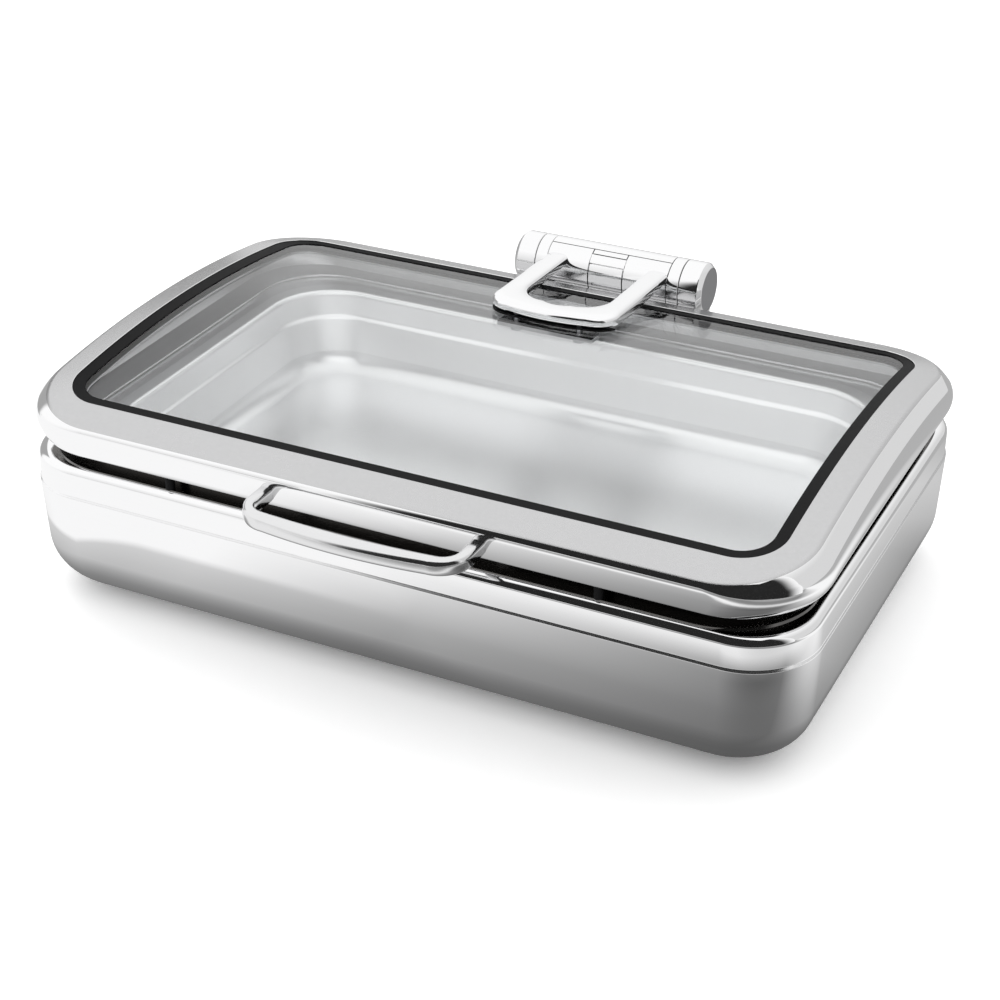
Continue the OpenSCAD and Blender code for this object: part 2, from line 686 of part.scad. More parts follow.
// Shell of the barrel between its bore and its outside
module barrel_shell(half) difference() {
    rod_x(barrel_r, -half, half);
    rod_x(bore_r, -half - past, half + past);
}
module arm_root(gap, side) {
    turn = seam_angle * gap;
    both_ends() wedge_x(root_low - turn, root_top + turn, tab_half - side, arm_half + side);
    wedge_x(root_tab - turn, root_notch + turn, -tab_half - past, tab_half + past);
}

// Inner tongues of the root, behind the barrel's wall, that the barrel screws hold
module root_tongues() both_ends() intersection() {
    difference() {
        rod_x(bore_r + past, tab_half + tongue_t, arm_half - tongue_t);
        rod_x(tongue_r - tongue_t, 0, arm_half);
    }
    union() {
        wedge_x(root_low, root_low + tongue_turn, 0, arm_half);
        intersection() {
            rod_x(tongue_r, 0, arm_half);
            wedge_x(tongue_low, root_low + tongue_turn, 0, arm_half);
        }
    }
}
module loop_plate() difference() {
    intersection() {
        translate([0, 0, arm_low_z - past]) linear_extrude(2 * barrel_r) arm_plan();
        arm_slab();
    }
    under_arch(glass_drop - pad_t - play);
}

module hinge_arm() color("whitesmoke") difference() {
    union() {
        loop_plate();
        at_hinge() intersection() {
            barrel_shell(arm_half);
            arm_root(0, 0);
        }
        at_hinge() root_tongues();
    }
    at_hinge() rod_x(tongue_r - tongue_t, -arm_half - past, arm_half + past);
    arm_bolt_rods(bolt_r + fit, pad_t + glass_drop, pad_t + bolt_depth);
    barrel_screw_rods(screw_hole_r + fit, 0, barrel_r);
}

module hinge_barrel() color("whitesmoke") difference() {
    at_hinge() rod_x(barrel_r, -barrel_half, barrel_half);
    at_hinge() rod_x(bore_r, -arm_half - play, arm_half + play);
    at_hinge() rod_x(bush_r + fit, -barrel_half - past, barrel_half + past);
    at_hinge() arm_root(1, play);
    barrel_screw_rods(screw_hole_r + fit, 0, 2 * barrel_r);
}

// Screws that hold the barrel to the tongues of the loop's root, under the barrel
screw_hole_r = 1.5;
barrel_head_t = 1;
barrel_screw_x = (tab_half + arm_half) / 2;
barrel_screw_turn = 0.52 * (root_low + tongue_low);
module barrel_screw_rods(r, from, to) both_ends() at_hinge() rotate([-barrel_screw_turn, 0, 0])
    translate([barrel_screw_x, 0, 0]) rotate([90, 0, 0]) translate([0, 0, from])
        cylinder(r = r, h = to - from);
module barrel_screws() color("gray") {
    barrel_screw_rods(screw_hole_r, tongue_r - tongue_t + inner_play, barrel_r + barrel_head_t);
    difference() {
        barrel_screw_rods(head_share * screw_hole_r, barrel_r - barrel_head_t, barrel_r + barrel_head_t);
        at_hinge() rod_x(barrel_r, -barrel_half, barrel_half);
    }
}

module hinge_bushes() color("tan") both_ends() at_hinge() difference() {
    rod_x(bush_r, arm_half + play, barrel_half);
    rod_x(axle_r + fit, arm_half, barrel_half + past);
}

// Loop's fixing through the glass

module arm_bolt_rods(r, below, length) for (x = [-arm_bolt_x, arm_bolt_x])
    on_arch(x, arm_bolt_y) translate([0, 0, -below - past]) cylinder(r = r, h = length);

module arm_pad() color("dimgray") difference() {
    arch_slice(glass_drop - pad_t, glass_drop) intersection() {
        translate([0, 0, glass_low_z]) linear_extrude(4 * barrel_r) arm_plan();
        translate([-arm_half, arm_y, glass_low_z]) cube([2 * arm_half, arm_front + past, 4 * barrel_r]);
    }
    arm_bolt_rods(bolt_r + 2 * fit, through / 2, through);
}

module clamp_slice(high, low) difference() {
    arch_slice(high, low) translate([-clamp_half, arm_y + past, glass_low_z - barrel_r])
        cube([2 * clamp_half, arm_front - 2 * past, 4 * barrel_r]);
    arm_bolt_rods(bolt_r + 2 * fit, through / 2, through);
}
clamp_depth = glass_drop + glass_t + play;
module clamp_pad() color("dimgray") clamp_slice(clamp_depth, clamp_depth + pad_t);
module clamp_plate() color("silver") clamp_slice(clamp_depth + pad_t, clamp_depth + pad_t + clamp_t);

module arm_bolts() color("gray") {
    depth = clamp_depth + pad_t + clamp_t;
    arm_bolt_rods(bolt_r, depth, depth + bolt_head_t);
    arm_bolt_rods(head_share * bolt_r, depth + bolt_head_t - past, bolt_head_t);
}

body_shell();
base_plate();
rim_collar();
lid_bumpers();
food_pan();
hinge_bracket();
bracket_seal();
bracket_backing();
bracket_screws();
hinge_axle();
hinge_end_caps();
spring_sleeve();
torsion_spring();
damper_rotor();
lid_frame();
lid_glass();
glass_seal();
glass_retainer();
retainer_studs();
retainer_nuts();
lid_handle();
handle_screws();
handle_washers();
hinge_arm();
hinge_barrel();
barrel_screws();
hinge_bushes();
damper_housing();
arm_pad();
clamp_pad();
clamp_plate();
arm_bolts();
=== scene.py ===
import math

import bmesh
import bpy
from mathutils import Matrix, Vector


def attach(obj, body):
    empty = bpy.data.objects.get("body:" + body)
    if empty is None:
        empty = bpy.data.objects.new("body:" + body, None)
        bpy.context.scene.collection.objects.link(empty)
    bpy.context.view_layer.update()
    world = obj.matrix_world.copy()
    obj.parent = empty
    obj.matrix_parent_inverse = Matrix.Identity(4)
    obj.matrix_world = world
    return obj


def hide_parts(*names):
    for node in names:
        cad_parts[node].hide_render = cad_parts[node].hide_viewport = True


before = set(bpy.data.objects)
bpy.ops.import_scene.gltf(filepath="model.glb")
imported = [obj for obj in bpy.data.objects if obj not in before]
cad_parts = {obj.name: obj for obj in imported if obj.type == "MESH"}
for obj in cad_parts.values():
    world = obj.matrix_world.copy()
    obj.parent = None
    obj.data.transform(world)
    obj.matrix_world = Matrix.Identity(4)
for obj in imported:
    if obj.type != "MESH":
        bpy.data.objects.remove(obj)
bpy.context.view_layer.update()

# Sizes in millimetres, most of them as in the part's source
MM = 0.001
HAIR = 1e-4
PLATE_T = 3.0
LIP_Z = 117.0
BODY_L, BODY_W, BODY_CORNER = 606.0, 388.0, 52.0
BODY_SHEET = 1.5
BODY_CREASE_Z = LIP_Z - 25.0
BAND_STEP, BAND_RISE = 1.0, 1.6
WALL_LEAN = math.radians(2.5)
BODY_FILLET = 42.0
LIP_ROLL, LIP_FLAT = 7.2, 6.8
CORNER_SHARE = 0.6
PLATE_BACK = 60.0

PAN_L, PAN_W, PAN_FLANGE, PAN_CORNER = 530.0, 325.0, 12.0, 52.0
PAN_DEPTH, PAN_SHEET, PAN_FILLET = 65.0, 1.2, 16.0
SHOULDER_DEPTH, SHOULDER_STEP, PAN_LEAN = 21.0, 2.5, 8.0
NECK_L, NECK_W, NECK_CORNER = 562.0, 357.0, 58.0
LEDGE_Z = LIP_Z + 10.0
RIM_Z = LEDGE_Z + PAN_SHEET
COLLAR_SHEET, COLLAR_DROP, COLLAR_IN, COLLAR_OUT = 1.2, 4.0, 26.8, 11.35

CREASE_L, CREASE_W, LID_CORNER = 591.0, 391.0, 64.0
BULGE_END, BULGE_SIDE, EDGE_IN_SIDE, EDGE_OUT_END = 8.5, 0.5, 4.0, 2.5
EDGE_OVER, EDGE_SHEET, EDGE_CORNER = 4.0, 1.5, 4.0
SHOULDER_START, SHOULDER_REACH, SHOULDER_STEPS, SHOULDER_SATIN = 13, 0.2, 12, 4
LID_EDGE_Z, SKIRT_H, LID_SHEET = LIP_Z + 11.0, 24.0, 2.0
CREASE_Z = LID_EDGE_Z + SKIRT_H
WINDOW_L, WINDOW_W, WINDOW_CORNER = 548.0, 337.0, 32.0
BORDER_RISE, BORDER_W = 2.8, 19.5
WINDOW_Z = CREASE_Z + BORDER_RISE
VAULT_R = 980.0
GLASS_DROP, GLASS_T = 2.6, 4.0
SEAL_W, SEAL_LOW_W, SEAL_EDGE, SEAL_LIP, SEAL_BACK_SLIM = 9.5, 6.0, 3.5, 1.2, 5.0
GLASS_TOP_Z = WINDOW_Z - GLASS_DROP
GLASS_LOW_Z = GLASS_TOP_Z - GLASS_T
SEAL_LOW_Z = GLASS_LOW_Z - SEAL_LIP
PLAY, FIT, SEAL_RECESS = 0.15, 0.05, 1.0

HINGE_Y, HINGE_Z = 218.0, 159.3
BARREL_R, BARREL_HALF, ARM_HALF = 21.5, 62.8, 53.0
KNUCKLE_X, KNUCKLE_END, KNUCKLE_CHAMFER = 63.3, 82.5, 3.5
AXLE_BORE_R, CAP_SEAT_R, CAP_R, CAP_DEEP = 6.1, 17.7, 17.5, 4.0
BARREL_SKIN, SEAM_GAP, SEAM_EDGE = 3.2, 0.35, 0.3

# How finely outlines and sections are divided, and the angle of an edge that stays sharp
SHARP_ANGLE = 40
CORNER_STEPS = 20
END_CUTS = 24
CURVE_STEPS = 18
LEG_STEPS = 12
OVAL_STEPS = 48
TURN_STEPS = 64


# Shader expressions

class Wire:
    """A shader output that takes part in Python expressions."""

    def __init__(self, finish, socket):
        self.finish = finish
        self.socket = socket

    def math(self, operation, first, second):
        return self.finish.node("ShaderNodeMath", {"operation": operation}, {0: first, 1: second})

    def __add__(self, other):
        return self.math("ADD", self, other)

    def __radd__(self, other):
        return self.math("ADD", other, self)

    def __sub__(self, other):
        return self.math("SUBTRACT", self, other)

    def __rsub__(self, other):
        return self.math("SUBTRACT", other, self)

    def __mul__(self, other):
        return self.math("MULTIPLY", self, other)

    def __rmul__(self, other):
        return self.math("MULTIPLY", other, self)

    def __pow__(self, other):
        return self.math("POWER", self, other)


class Finish:
    """A node tree under construction, of a material or of the world."""

    def __init__(self, owner):
        self.owner = owner
        owner.use_nodes = True
        self.tree = owner.node_tree
        self.tree.nodes.clear()

    def node(self, kind, settings=None, inputs=None, output=0):
        """Adds a node, its settings first, then its sockets' values or links, and gives one output."""
        made = self.tree.nodes.new(kind)
        for key, value in (settings or {}).items():
            if key == "stops":
                set_stops(made.color_ramp, value)
            else:
                setattr(made, key, value)
        for key, value in (inputs or {}).items():
            if isinstance(value, Wire):
                self.tree.links.new(value.socket, made.inputs[key])
            else:
                made.inputs[key].default_value = value
        return Wire(self, made.outputs[output])

    def coordinates(self, scale):
        """Places on the piece in metres, times a scale."""
        place = self.node("ShaderNodeTexCoord", output="Object")
        return self.node("ShaderNodeMapping", {}, {"Vector": place, "Scale": scale})

    def noise(self, scale, detail, stretch=(1, 1, 1)):
        """Soft noise, stretched along some ways more than others."""
        return self.node("ShaderNodeTexNoise", {},
                         {"Vector": self.coordinates(stretch), "Scale": scale, "Detail": detail})

    def blend(self, factor, first, second):
        """A mix of two colours."""
        return self.node("ShaderNodeMix", {"data_type": "RGBA"}, {0: factor, 6: first, 7: second}, output=2)

    def bump(self, height, strength, distance):
        """A normal that follows a height."""
        return self.node("ShaderNodeBump", {}, {"Height": height, "Strength": strength, "Distance": distance})

    def ramp(self, factor, stops):
        """Grey levels along a value, from stops of (place, level)."""
        colours = [(place, grey(level)) for place, level in stops]
        return self.node("ShaderNodeValToRGB", {"stops": colours}, {"Fac": factor})

    def fade(self, value, start, end, low=0.0, high=1.0, shape="LINEAR"):
        """Goes from low to high while the value goes from start to end."""
        return self.node("ShaderNodeMapRange", {"interpolation_type": shape}, {
            "Value": value, "From Min": start, "From Max": end, "To Min": low, "To Max": high})

    def vector(self, operation, first, second=None, output="Vector"):
        """Vector maths on one or two vectors."""
        inputs = {0: first} if second is None else {0: first, 1: second}
        return self.node("ShaderNodeVectorMath", {"operation": operation}, inputs, output=output)

    def ray(self, output):
        """What kind of ray sees the surface, or how many clear panes it has come through."""
        return self.node("ShaderNodeLightPath", output=output)

    def output(self, shader, kind="ShaderNodeOutputMaterial"):
        """Ends the tree with its shader and gives the material or world."""
        end = self.tree.nodes.new(kind)
        self.tree.links.new(shader.socket, end.inputs["Surface"])
        return self.owner


def set_stops(ramp, stops):
    """Gives a colour ramp its stops, as (place, colour)."""
    while len(ramp.elements) > len(stops):
        ramp.elements.remove(ramp.elements[-1])
    while len(ramp.elements) < len(stops):
        ramp.elements.new(1.0)
    for element, (place, colour) in zip(ramp.elements, stops):
        element.position = place
        element.color = colour


def grey(level):
    """An opaque grey."""
    return (level, level, level, 1.0)


# Features to the metre in the finishes, and the moulded skin's as a multiple of the mottle's
CLOUD_SCALE, WAVE_SCALE, HAZE_SCALE, SKIN_SCALE = 16.0, 9.0, 30.0, 9.0

# Heights of the bumps in metres, then shares and strengths
STEEL_BUMP, SKIN_BUMP = 0.0002, 0.0001
GRAIN_SHARE, MOTTLE, SKIN_ROUGHNESS, SKIN_STRENGTH = 0.7, 0.2, 0.15, 0.3
PANE_TINT, PANE_SHEEN, PANE_FALLOFF = (0.98, 0.985, 0.985, 1.0), 0.04, 5.0
PANE_ROUGHNESS, PANE_HAZE = 0.015, 0.03


def shades(tint, spread):
    """A darker and a lighter shade of a colour."""
    return [tuple(value * factor for value in tint) + (1.0,) for factor in (1.0 - spread, 1.0 + spread)]


def steel(name, tint, roughness, grain, depth, spread=0.07, cloud=0.06, wave=0.0):
    """Stainless steel: a fine grain along one way, soft polishing clouds and a slight waviness."""
    finish = Finish(bpy.data.materials.new(name))
    lines = finish.noise(1.0, 3.0, grain)
    clouds = finish.noise(CLOUD_SCALE, 3.0)
    height = lines * depth + finish.noise(WAVE_SCALE, 1.0) * wave
    shader = finish.node("ShaderNodeBsdfPrincipled", {}, {
        "Base Color": finish.blend(lines * GRAIN_SHARE + clouds * (1.0 - GRAIN_SHARE), *shades(tint, spread)),
        "Metallic": 1.0,
        "Roughness": roughness + (clouds - 0.5) * cloud + (lines - 0.5) * cloud,
        "Normal": finish.bump(height, 1.0, STEEL_BUMP),
    })
    return finish.output(shader)


def polymer(name, tint, roughness, speckle, sheen=0.5):
    """Moulded plastic or silicone, with a faint mottle and a fine moulded skin."""
    finish = Finish(bpy.data.materials.new(name))
    mottle = finish.noise(speckle, 4.0)
    skin = finish.noise(speckle * SKIN_SCALE, 2.0)
    shader = finish.node("ShaderNodeBsdfPrincipled", {}, {
        "Base Color": finish.blend(mottle, *shades(tint, MOTTLE)),
        "Roughness": roughness + (skin - 0.5) * SKIN_ROUGHNESS,
        "Specular IOR Level": sheen,
        "Normal": finish.bump(skin, SKIN_STRENGTH, SKIN_BUMP),
    })
    return finish.output(shader)


def clear_pane(name):
    """Thin clear glass: it lets light straight through and reflects more at a flat angle."""
    finish = Finish(bpy.data.materials.new(name))
    facing = finish.node("ShaderNodeLayerWeight", {}, {"Blend": 0.5}, output="Facing")
    sheen = PANE_SHEEN + (1.0 - PANE_SHEEN) * facing ** PANE_FALLOFF
    through = finish.node("ShaderNodeBsdfTransparent", {}, {"Color": PANE_TINT})
    haze = finish.noise(HAZE_SCALE, 3.0)
    mirror = finish.node("ShaderNodeBsdfPrincipled", {}, {
        "Base Color": grey(0.95), "Metallic": 1.0, "Roughness": PANE_ROUGHNESS + haze * PANE_HAZE})
    return finish.output(finish.node("ShaderNodeMixShader", {}, {0: sheen, 1: through, 2: mirror}))


FINE_GRAIN = (12.0, 900.0, 900.0)
CROSS_GRAIN = (900.0, 12.0, 900.0)
ROUND_GRAIN = (300.0, 300.0, 300.0)
MIRROR = steel("mirror_steel", (0.93, 0.93, 0.935), roughness=0.05, grain=FINE_GRAIN, depth=0.002,
               spread=0.015, cloud=0.02, wave=0.06)
CREASE_STEEL = steel("crease_steel", (0.9, 0.9, 0.905), roughness=0.22, grain=FINE_GRAIN, depth=0.004)
# A darker copy of the mirror steel for the handle: painted shade on its reflections
SHADED_HANDLE_STEEL = steel("handle_steel_painted_shade", (0.78, 0.78, 0.785), roughness=0.15, grain=FINE_GRAIN, depth=0.004,
                     spread=0.03, cloud=0.04)
SATIN = steel("satin_border_steel", (0.6, 0.6, 0.605), roughness=0.26, grain=ROUND_GRAIN, depth=0.05,
              spread=0.06, cloud=0.08)
# A darker copy of the lid's steel for its inside: painted shade under the lid
SHADED_LID_INSIDE = steel("lid_inside_steel_painted_shade", (0.56, 0.56, 0.57), roughness=0.3, grain=FINE_GRAIN, depth=0.01)
PAN_STEEL = steel("satin_pan_steel", (0.88, 0.88, 0.885), roughness=0.32, grain=ROUND_GRAIN, depth=0.03,
                  spread=0.03, cloud=0.06)
PAN_WALL_STEEL = steel("satin_pan_wall_steel", (0.96, 0.96, 0.965), roughness=0.42, grain=ROUND_GRAIN,
                       depth=0.03, spread=0.02, cloud=0.04)
# Dark steel for the neck's outside and the underside of the lid's edge: painted shade of the gap under the
# lid
GAP_SHADE_STEEL = steel("collar_steel_painted_shade", (0.15, 0.145, 0.14), roughness=0.2, grain=FINE_GRAIN, depth=0.01)
PLAIN = steel("plain_sheet_steel", (0.55, 0.55, 0.56), roughness=0.35, grain=CROSS_GRAIN, depth=0.05)
FASTENER = steel("turned_steel", (0.58, 0.58, 0.6), roughness=0.3, grain=ROUND_GRAIN, depth=0.05)
CAP_STEEL = steel("cap_disc_steel", (0.38, 0.38, 0.39), roughness=0.38, grain=ROUND_GRAIN, depth=0.05)
SPRING = steel("oiled_spring_wire", (0.33, 0.34, 0.36), roughness=0.3, grain=ROUND_GRAIN, depth=0.04)
SILICONE = polymer("black_silicone", (0.007, 0.007, 0.0075), roughness=0.55, speckle=60.0, sheen=0.1)
ACETAL = polymer("natural_acetal", (0.8, 0.78, 0.72), roughness=0.45, speckle=40.0)
DARK_PLASTIC = polymer("dark_plastic", (0.06, 0.06, 0.065), roughness=0.5, speckle=40.0)
GLASS = clear_pane("clear_glass")


# Modelling

def lift(y):
    """Height of the lid's arch over its front and back creases."""
    return math.sqrt(VAULT_R ** 2 - y ** 2) - math.sqrt(VAULT_R ** 2 - (CREASE_W / 2) ** 2)


def arc(u, v, radius, start, end, steps=CURVE_STEPS):
    """Points of an arc in a section, between two angles in degrees."""
    turns = [math.radians(start + (end - start) * i / steps) for i in range(steps + 1)]
    return [(u + radius * math.cos(turn), v + radius * math.sin(turn)) for turn in turns]


def refit(point, old, new):
    """Moves a point from one rounded rectangle to another, keeping its corners round."""
    plan = []
    for value, side in zip(point.xy, (0, 1)):
        straight = old[side] / 2 - old[2]
        next_straight = new[side] / 2 - new[2]
        size = abs(value)
        if size > straight:
            moved = next_straight + (size - straight) * new[2] / old[2]
        else:
            moved = size * next_straight / straight
        plan.append(math.copysign(moved, value))
    return Vector((plan[0], plan[1], new[3] + new[4] * lift(plan[1])))


def kind(geometry, wanted):
    """The verts, edges or faces among what an operator returns."""
    return [part for part in geometry if isinstance(part, wanted)]


def rounded_outline(bm, level):
    """A rectangle with round corners, its two ends divided, as edges alone."""
    verts = bmesh.ops.create_grid(bm, x_segments=1, y_segments=1, size=0.5)["verts"]
    bmesh.ops.scale(bm, vec=(level[0], level[1], 1), verts=verts)
    bmesh.ops.bevel(bm, geom=verts, offset=level[2], offset_type="OFFSET", segments=CORNER_STEPS, profile=0.5,
                    affect="VERTICES", material=-1)
    ends = [edge for edge in bm.edges if abs(edge.verts[0].co.x - edge.verts[1].co.x) < HAIR]
    bmesh.ops.delete(bm, geom=bm.faces[:], context="FACES_ONLY")
    bmesh.ops.subdivide_edges(bm, edges=ends, cuts=END_CUTS)
    for vert in bm.verts:
        vert.co = refit(vert.co, level, level)
    return bm.edges[:]


def sweep(levels, close=False, fill=False):
    """Draws an outline through levels of [length, width, corner, height, share of the arch]."""
    bm = bmesh.new()
    rings = [rounded_outline(bm, levels[0])]
    strips = []
    for old, new in zip(levels, levels[1:]):
        made = bmesh.ops.extrude_edge_only(bm, edges=rings[-1])["geom"]
        verts = set(kind(made, bmesh.types.BMVert))
        for vert in verts:
            vert.co = refit(vert.co, old, new)
        rings.append([edge for edge in kind(made, bmesh.types.BMEdge) if set(edge.verts) <= verts])
        strips.append(kind(made, bmesh.types.BMFace))
    if close:
        strips.append(bmesh.ops.bridge_loops(bm, edges=rings[0] + rings[-1])["faces"])
    if fill:
        for ring in (rings[0], rings[-1]):
            bmesh.ops.contextual_create(bm, geom=ring)
    return bm, rings, strips


def paint(strips, slot):
    """Gives strips of faces another of their piece's materials."""
    for strip in strips:
        for face in strip:
            face.material_index = slot


def soften(bm, edges, radius, segments=4):
    """Rounds edges off."""
    bmesh.ops.bevel(bm, geom=edges, offset=radius, offset_type="OFFSET", segments=segments, profile=0.5,
                    affect="EDGES", material=-1, clamp_overlap=True)


def sharp_edges(bm, angle):
    """Edges where two faces meet at more than an angle, in degrees."""
    return [edge for edge in bm.edges
            if len(edge.link_faces) == 2 and edge.calc_face_angle() > math.radians(angle)]


def make(bm, name, body, node, slot, *materials):
    """Turns a bmesh in millimetres into a piece that rides on a body and stands for a node."""
    bmesh.ops.remove_doubles(bm, verts=bm.verts, dist=HAIR)
    bmesh.ops.recalc_face_normals(bm, faces=bm.faces)
    for face in bm.faces:
        face.smooth = True
    for edge in sharp_edges(bm, SHARP_ANGLE):
        edge.smooth = False
    bmesh.ops.scale(bm, vec=(MM, MM, MM), verts=bm.verts)
    mesh = bpy.data.meshes.new(name)
    bm.to_mesh(mesh)
    bm.free()
    for material in materials:
        mesh.materials.append(material)
    piece = bpy.data.objects.new(name, mesh)
    bpy.context.scene.collection.objects.link(piece)
    even = piece.modifiers.new("even_shading", "WEIGHTED_NORMAL")
    even.keep_sharp = True
    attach(piece, body)
    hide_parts(node)


# Body

def body_section(sheet):
    """The body's wall from the bottom up, as insets and heights."""
    low = PLATE_T + BODY_FILLET
    foot = ((BODY_CREASE_Z - low + BODY_FILLET * math.sin(WALL_LEAN)) * math.tan(WALL_LEAN)
            + BODY_FILLET * math.cos(WALL_LEAN))
    bottom = arc(foot, low, BODY_FILLET - sheet, 270, 180 + math.degrees(WALL_LEAN))
    return bottom + [(sheet, BODY_CREASE_Z), (sheet + BAND_STEP, BODY_CREASE_Z + BAND_RISE)]


def body_level(point):
    """The body's outline at a point of its section."""
    inset, height = point
    return (BODY_L - 2 * inset, BODY_W - 2 * inset, BODY_CORNER - CORNER_SHARE * inset, height, 0)


def build_body():
    """The drawn body, with its crease and its rolled lip, as one sheet."""
    crease_round, roll_steps = 0.5, 8
    lip_inset = BAND_STEP + LIP_ROLL
    lip_in = lip_inset + LIP_FLAT
    outside = body_section(0)
    roll = arc(lip_inset, LIP_Z - LIP_ROLL, LIP_ROLL, 180, 90, roll_steps)
    inside = [(lip_in, LIP_Z), (lip_in, LIP_Z - BODY_SHEET), (lip_inset, LIP_Z - BODY_SHEET),
              (BAND_STEP + BODY_SHEET, LIP_Z - LIP_ROLL)] + body_section(BODY_SHEET)[::-1]
    bm, rings, strips = sweep([body_level(point) for point in outside + roll + inside], fill=True)
    crease = len(outside) - 2
    paint(strips[crease:crease + 1], 1)
    soften(bm, rings[crease] + rings[crease + 1], crease_round, 3)
    make(bm, "body_shell_skin", "base", "body_shell", "mirror_steel", MIRROR, CREASE_STEEL)


def build_base_plate():
    """The flat plate under the body, its lower edge chamfered."""
    length, width, edge = BODY_L - 2 * PLATE_BACK, BODY_W - 2 * PLATE_BACK, 0.6
    levels = [(length - 2 * edge, width - 2 * edge, BODY_CORNER - edge, 0, 0),
              (length, width, BODY_CORNER, edge, 0), (length, width, BODY_CORNER, PLATE_T, 0)]
    bm = sweep(levels, fill=True)[0]
    make(bm, "base_plate_skin", "base", "base_plate", "satin_steel", PLAIN)


def build_collar():
    """The neck on the body's lip and the ledge that the pan hangs on."""
    outer_round, inner_round = 1.1, 1.0
    section = [(COLLAR_OUT, LIP_Z), (COLLAR_OUT, LIP_Z + COLLAR_SHEET), (0, LIP_Z + COLLAR_SHEET),
               (0, LEDGE_Z), (-COLLAR_IN, LEDGE_Z), (-COLLAR_IN, LEDGE_Z - COLLAR_DROP),
               (COLLAR_SHEET - COLLAR_IN, LEDGE_Z - COLLAR_DROP),
               (COLLAR_SHEET - COLLAR_IN, LEDGE_Z - COLLAR_SHEET), (-COLLAR_SHEET, LEDGE_Z - COLLAR_SHEET),
               (-COLLAR_SHEET, LIP_Z)]
    levels = [(NECK_L + 2 * out, NECK_W + 2 * out, NECK_CORNER + out / 2, z, 0) for out, z in section]
    bm, rings, strips = sweep(levels, close=True)
    # The neck's outside gets the dark steel: painted shade in the gap under the lid
    paint(strips[:3], 1)
    soften(bm, rings[3], outer_round)
    soften(bm, rings[4], inner_round)
    make(bm, "rim_collar_skin", "base", "rim_collar", "satin_steel", PAN_STEEL, GAP_SHADE_STEEL)


# Pan

def pan_section(sheet):
    """The pan's wall from the floor up, as insets from the opening and heights."""
    fillet_steps = 10
    wall = SHOULDER_STEP + PAN_LEAN
    low = RIM_Z - PAN_DEPTH + PAN_FILLET
    floor = arc(wall + PAN_FILLET, low, PAN_FILLET - sheet, 270, 180, fillet_steps)
    shoulder_z = RIM_Z - SHOULDER_DEPTH
    return floor + [(SHOULDER_STEP + sheet, shoulder_z - SHOULDER_STEP), (sheet, shoulder_z)]


def build_pan():
    """The pan as one sheet: its outside, the flange and its inside."""
    rim_round, shoulder_round, flange_round = 4.5, 1.1, 0.5
    outside = pan_section(0)
    flange = [(0, LEDGE_Z), (-PAN_FLANGE, LEDGE_Z), (-PAN_FLANGE, RIM_Z), (PAN_SHEET, RIM_Z)]
    inside = pan_section(PAN_SHEET)[::-1]
    open_l, open_w = PAN_L - 2 * PAN_FLANGE, PAN_W - 2 * PAN_FLANGE
    levels = [(open_l - 2 * inset, open_w - 2 * inset, PAN_CORNER - CORNER_SHARE * inset, z, 0)
              for inset, z in outside + flange + inside]
    bm, rings, strips = sweep(levels, fill=True)
    rim = len(outside) + 3
    paint(strips[rim - 2:rim + 3], 1)
    soften(bm, rings[rim], rim_round, 6)
    soften(bm, rings[rim + 1] + rings[rim + 2], shoulder_round)
    soften(bm, rings[rim - 1], flange_round, 3)
    make(bm, "food_pan_skin", "pan", "food_pan", "satin_steel", PAN_STEEL, PAN_WALL_STEEL)


# Lid

def skirt_level(t, sheet):
    """A level of the lid's side, for t from -1 at its lower edge to 1 at its crease."""
    bulge = 1 - t ** 2
    share = (t + 1) / 2
    return (CREASE_L + 2 * (BULGE_END * bulge + EDGE_OUT_END * (1 - share) - sheet),
            CREASE_W + 2 * (BULGE_SIDE * bulge - EDGE_IN_SIDE * (1 - share) - sheet),
            LID_CORNER + BULGE_SIDE * bulge - EDGE_CORNER * (1 - share) - sheet,
            LID_EDGE_Z + (SKIRT_H - sheet) * share, share)


def skirt(sheet):
    """The lid's side from its lower edge up, outside or a sheet's thickness in."""
    return [skirt_level(2 * i / CURVE_STEPS - 1, sheet) for i in range(CURVE_STEPS + 1)]


def window_level(inset, z):
    """The window's outline, some way in from its edge."""
    return (WINDOW_L - 2 * inset, WINDOW_W - 2 * inset, WINDOW_CORNER - inset, z, 1)


def turned_edge(z):
    """The inner edge of the lid's lower edge, which is turned in over the ledge."""
    return (NECK_L - 2 * EDGE_OVER, NECK_W - 2 * EDGE_OVER, NECK_CORNER - EDGE_OVER, z, 0)


def between(first, second, share):
    """A level part of the way from one level to another."""
    return tuple(a + (b - a) * share for a, b in zip(first, second))


def shoulder(start, corner, end):
    """Levels that round off a corner between two levels."""
    shares = [i / SHOULDER_STEPS for i in range(1, SHOULDER_STEPS + 1)]
    return [between(between(start, corner, share), between(corner, end, share), share) for share in shares]


